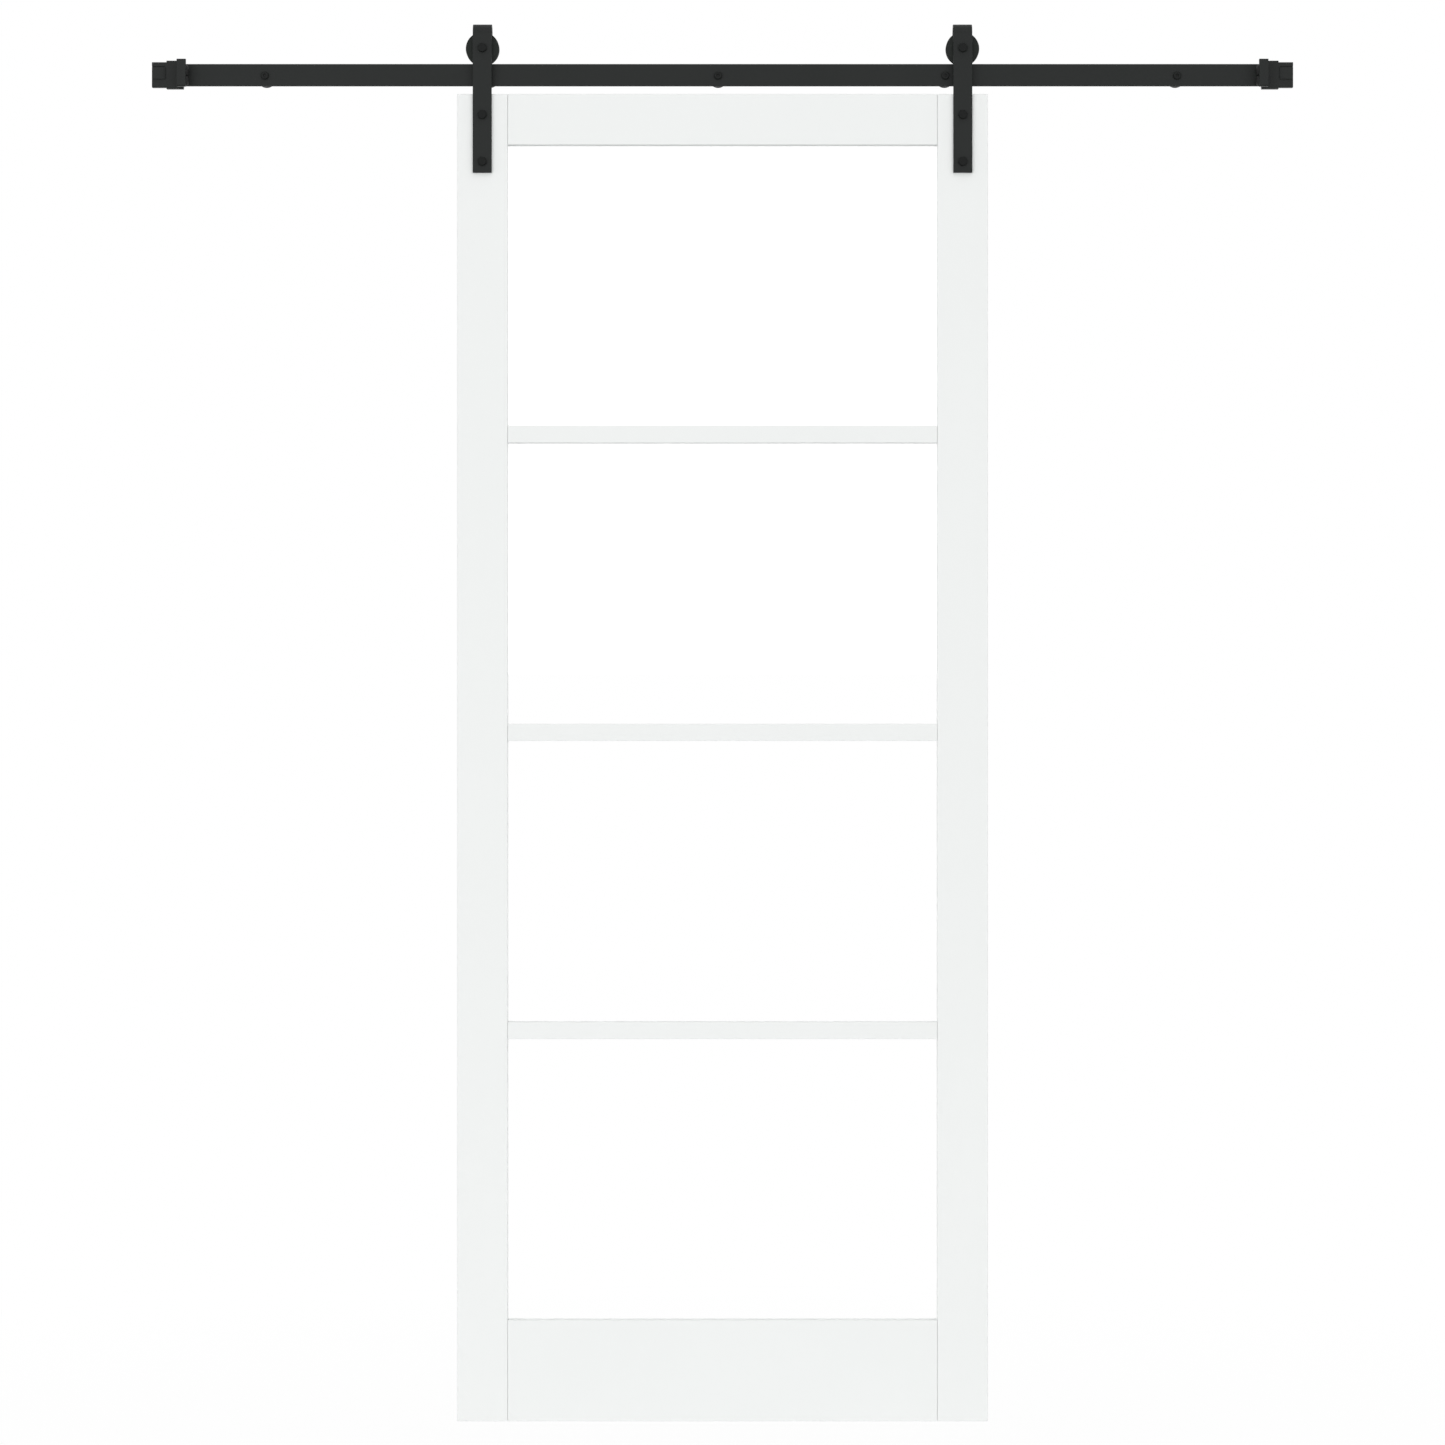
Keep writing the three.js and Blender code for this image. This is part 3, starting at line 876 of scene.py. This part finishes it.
def build_hangers():
    strap = hanger_strap()
    for name, _ in SIDES:
        node = f"{name}_hanger_strap"
        stand_for(copied(strap, (middle(node).x, 0, 0)), node, COAT)
    bpy.data.objects.remove(strap)

    def hang(part, model, finish, turn=0.0, further=0.0, heights=("",)):
        """Models the part once, and puts a copy in each hanger.

        The left one is turned the other way, and the lower of two is turned further. In radians.
        """
        copies = [
            (f"{name}_{part}{height}", side * (turn + further * i))
            for name, side in SIDES
            for i, height in enumerate(heights)
        ]
        pattern = model(copies[0][0])
        stand_for_all(pattern, finish, *[(node, middle(node), angle) for node, angle in copies])

    both = [f"_{height}" for height in HEIGHTS]
    hang("strap_bolt", hex_bolt, OXIDE, turn=0.4, further=1.0, heights=both)
    hang("barrel_nut", barrel_nut, OXIDE, turn=0.3, further=0.5, heights=both)
    hang("axle_bolt", hex_bolt, OXIDE, turn=0.25)
    hang("axle_nut", lock_nut, OXIDE, turn=0.7)
    hang("axle_sleeve_front", plain_ring, STEEL)
    hang("axle_sleeve_back", plain_ring, STEEL)
    hang("bearing_inner_race", plain_ring, STEEL)
    hang("bearing_outer_race", outer_race, STEEL)
    hang("wheel", grooved_wheel, WHEEL_COAT)


# ---- Leaf ----

TENON_SETBACK = 3
TENON_THICKNESS = 8
TENON_ROOT = 5  # how far inside its crosspiece a tenon starts
TENON_SHARE = 0.55  # a tenon's height as a share of its crosspiece's
BEAD_WIDTH = 8.7
CROSSPIECES = ("top_rail", "glazing_bar_1", "glazing_bar_2", "glazing_bar_3", "bottom_rail")


def rebate(i):
    """What the glass and its bead need, open to the leaf's back."""
    bead_low, bead_high = box(f"glazing_bead_{i}")
    front = box(f"glass_pane_{i}")[0].y - GAP
    low = (bead_low.x - GAP, front, bead_low.z - GAP)
    return block("rebate", low, (bead_high.x + GAP, bead_high.y + OVERRUN, bead_high.z + GAP))


def tenon(node, x0, x1, widen=0.0):
    """A crosspiece's tenon, or its mortise when it is widened."""
    low, high = box(node)
    half = TENON_SHARE * (high.z - low.z) / 2 + widen
    front = low.y + TENON_SETBACK
    centre = middle(node).z
    return block(
        "tenon",
        (x0, front - widen, centre - half),
        (x1, front + TENON_THICKNESS + widen, centre + half),
    )


def crosspiece(node, beside):
    """A rail or bar between the stiles, with its two tenons and the rebates beside it."""
    low, high = box(node)
    shoulder = box("right_stile")[0].x - GAP
    root = shoulder - TENON_ROOT
    body = soften(block("bar", (-shoulder, low.y, low.z), (shoulder, high.y, high.z)), 0.8)
    combine(body, "UNION", *[tenon(node, side * root, side * high.x) for _, side in SIDES])
    return smooth(combine(body, "DIFFERENCE", *[rebate(i) for i in beside]))


def stile():
    """The right-hand stile, with its mortises, rebates and bolt holes."""
    low, high = box("right_stile")
    front, back = low.y - OVERRUN, high.y + OVERRUN
    body = soften(block("stile", low, high), 1.2, segments=4)
    mortises = [
        tenon(node, low.x - OVERRUN, box(node)[1].x + GAP, widen=GAP)
        for node in CROSSPIECES
    ]
    combine(body, "DIFFERENCE", *mortises, *[rebate(i) for i in LIGHTS])
    for height in HEIGHTS:
        nut = f"right_barrel_nut_{height}"
        at = (middle(nut).x, middle(nut).z)
        bolt_hole = drill(HOLE_RADIUS, front, high.y, at)
        nut_hole = drill(BARREL_RADIUS + GAP, box(nut)[0].y - GAP, back, at)
        combine(body, "DIFFERENCE", bolt_hole, nut_hole)
    return smooth(body)


def bead_strip(half_length, half_breadth, front, back):
    """One mitred strip of glazing bead below the light's centre, with a rounded inner corner."""
    quirk, radius, depth, beyond, mitre_gap = 1.0, 6, 7, 2, 0.1
    face = back - depth
    profile = [(0, front), (0, face), (quirk, face)]
    profile += arc((quirk + radius, face), (radius, radius), 180, 90)[1:]
    profile += [(quirk + radius, back), (BEAD_WIDTH, back), (BEAD_WIDTH, front)]
    reach = half_length + BEAD_WIDTH + beyond
    outline = [(-reach, y, -half_breadth - out) for out, y in profile]
    strip = prism("strip", outline, (0, 0, 0), (2 * reach, 0, 0))
    for side in (-1, 1):
        with editing(strip):
            bpy.ops.mesh.bisect(
                plane_co=((side * (half_length - mitre_gap)) * MM, 0, -half_breadth * MM),
                plane_no=(side, 0, 1),
                use_fill=True,
                clear_outer=True,
                threshold=TINY,
            )
    settle(strip)
    return soften(strip, 0.3, segments=2)


def glazing_bead(node):
    """Four mitred strips round a light, modelled about its centre."""
    low, high = box(node)
    half_x = (high.x - low.x) / 2 - BEAD_WIDTH
    half_z = (high.z - low.z) / 2 - BEAD_WIDTH
    front, back = low.y - middle(node).y, high.y - middle(node).y
    across = bead_strip(half_x, half_z, front, back)
    upright = bead_strip(half_z, half_x, front, back)
    strips = [copied(across), copied(across, turn=math.pi)]
    strips += [copied(upright, turn=math.pi / 2), copied(upright, turn=-math.pi / 2)]
    for pattern in (across, upright):
        bpy.data.objects.remove(pattern)
    return joined(*strips)


def glass_pane(node):
    """A sheet with its edges ground."""
    half = size(node) / 2
    return soften(block("pane", -half, half), 0.4, segments=1)


def build_leaf():
    right = stile()
    for name, side in SIDES:
        stand_for(copied(right, mirrored=side < 0), f"{name}_stile", PAINT_UPRIGHT)
    bpy.data.objects.remove(right)
    for i, node in enumerate(CROSSPIECES):
        beside = [light for light in (i, i + 1) if light in LIGHTS]
        stand_for(crosspiece(node, beside), node, PAINT_ACROSS)
    for part, model, finish in (
        ("glass_pane", glass_pane, GLASS),
        ("glazing_bead", glazing_bead, PAINT_ACROSS),
    ):
        nodes = [f"{part}_{i}" for i in LIGHTS]
        stand_for_all(model(nodes[0]), finish, *[(node, middle(node), 0) for node in nodes])


# ---- Surroundings ----


def seen_directly(tree):
    """1 for rays that show a surface to the eye, in a mirror or through glass."""
    camera, glossy, through = (
        tree.node("ShaderNodeLightPath", output=f"Is {kind} Ray")
        for kind in ("Camera", "Glossy", "Transmission")
    )
    return (camera + glossy + through).maths("MINIMUM", 1.0)


FLOOR_RADIUS = 2.4
WHITE = (1, 1, 1, 1)


def pale_floor(tree):
    """Nearly white where the shadow falls, and as white as the world at the rim.

    Rays that only carry light meet white paint with a weak glow, so the leaf isn't lit too much.
    """
    middle_white, unseen_white, paint = 0.94, 0.2, (0.95, 0.95, 0.95, 1)
    place = place_on(tree)
    reach = place.node("ShaderNodeVectorMath", {0: place}, output="Value", operation="LENGTH")
    seen_white = middle_white + ((1 - middle_white) / FLOOR_RADIUS) * reach
    share = unseen_white + seen_directly(tree) * (seen_white - unseen_white)
    lit = tree.node("ShaderNodeBsdfDiffuse", {"Color": paint})
    white = tree.node("ShaderNodeEmission", {"Color": WHITE, "Strength": 1.0})
    return tree.node("ShaderNodeMixShader", {0: share, 1: lit, 2: white})


def build_floor():
    """A round floor, a little below the leaf, which hangs clear of it."""
    drop = 0.06
    bpy.ops.mesh.primitive_circle_add(
        vertices=128,
        radius=FLOOR_RADIUS,
        fill_type="NGON",
        location=(0, 0, cad_box[0][2] - drop),
    )
    floor = named("floor")
    floor.data.materials.append(material("pale_floor", pale_floor))


def build_world():
    """A world that is seen as white and lights the object more weakly."""
    world = bpy.data.worlds.new("studio")
    bpy.context.scene.world = world
    world.use_nodes = True
    world.node_tree.nodes.clear()
    tree = Shade(world.node_tree)
    lighting = 0.58
    strength = lighting + (1 - lighting) * seen_directly(tree)
    white = tree.node("ShaderNodeBackground", {"Color": WHITE, "Strength": strength})
    tree.node("ShaderNodeOutputWorld", {"Surface": white})


LIT_POINT = Vector((0, 0, -0.9))


def softbox(name, place, width, power):
    """A large square lamp that faces the middle of the object."""
    lamp = bpy.data.lights.new(name, "AREA")
    lamp.shape = "SQUARE"
    lamp.size = width
    lamp.energy = power
    holder = bpy.data.objects.new(name, lamp)
    holder.location = place
    aim = LIT_POINT - Vector(place)
    holder.rotation_euler = aim.to_track_quat("-Z", "Y").to_euler()
    bpy.context.collection.objects.link(holder)


def build_lamps():
    softbox("front", (0, -11, 1.6), width=5.0, power=142)
    softbox("front_left", (-3.6, -6.2, -0.2), width=3.0, power=86)
    softbox("front_right", (3.8, -6.0, -0.4), width=3.0, power=58)
    softbox("overhead", (0, -2.8, 4.2), width=2.4, power=28)
    softbox("back_left", (-4.4, 4.6, 0.4), width=3.0, power=56)
    softbox("back_right", (4.4, 4.6, 0.4), width=3.0, power=56)


def build_camera():
    """Square on to the leaf, level with its middle, and far enough off to see it nearly flat."""
    distance, frame_width, height = 8.05, 2.286, -1.0256
    camera = bpy.data.cameras.new("camera")
    camera.sensor_width = 36
    camera.lens = camera.sensor_width * distance / frame_width
    holder = bpy.data.objects.new("camera", camera)
    holder.location = (0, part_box("left_stile")[0].y - distance, height)
    holder.rotation_euler = (math.pi / 2, 0, 0)
    bpy.context.collection.objects.link(holder)
    bpy.context.scene.camera = holder


build_camera()
build_track()
build_stops()
build_hangers()
build_leaf()
build_floor()
build_world()
build_lamps()
bpy.context.scene.view_settings.view_transform = "Standard"
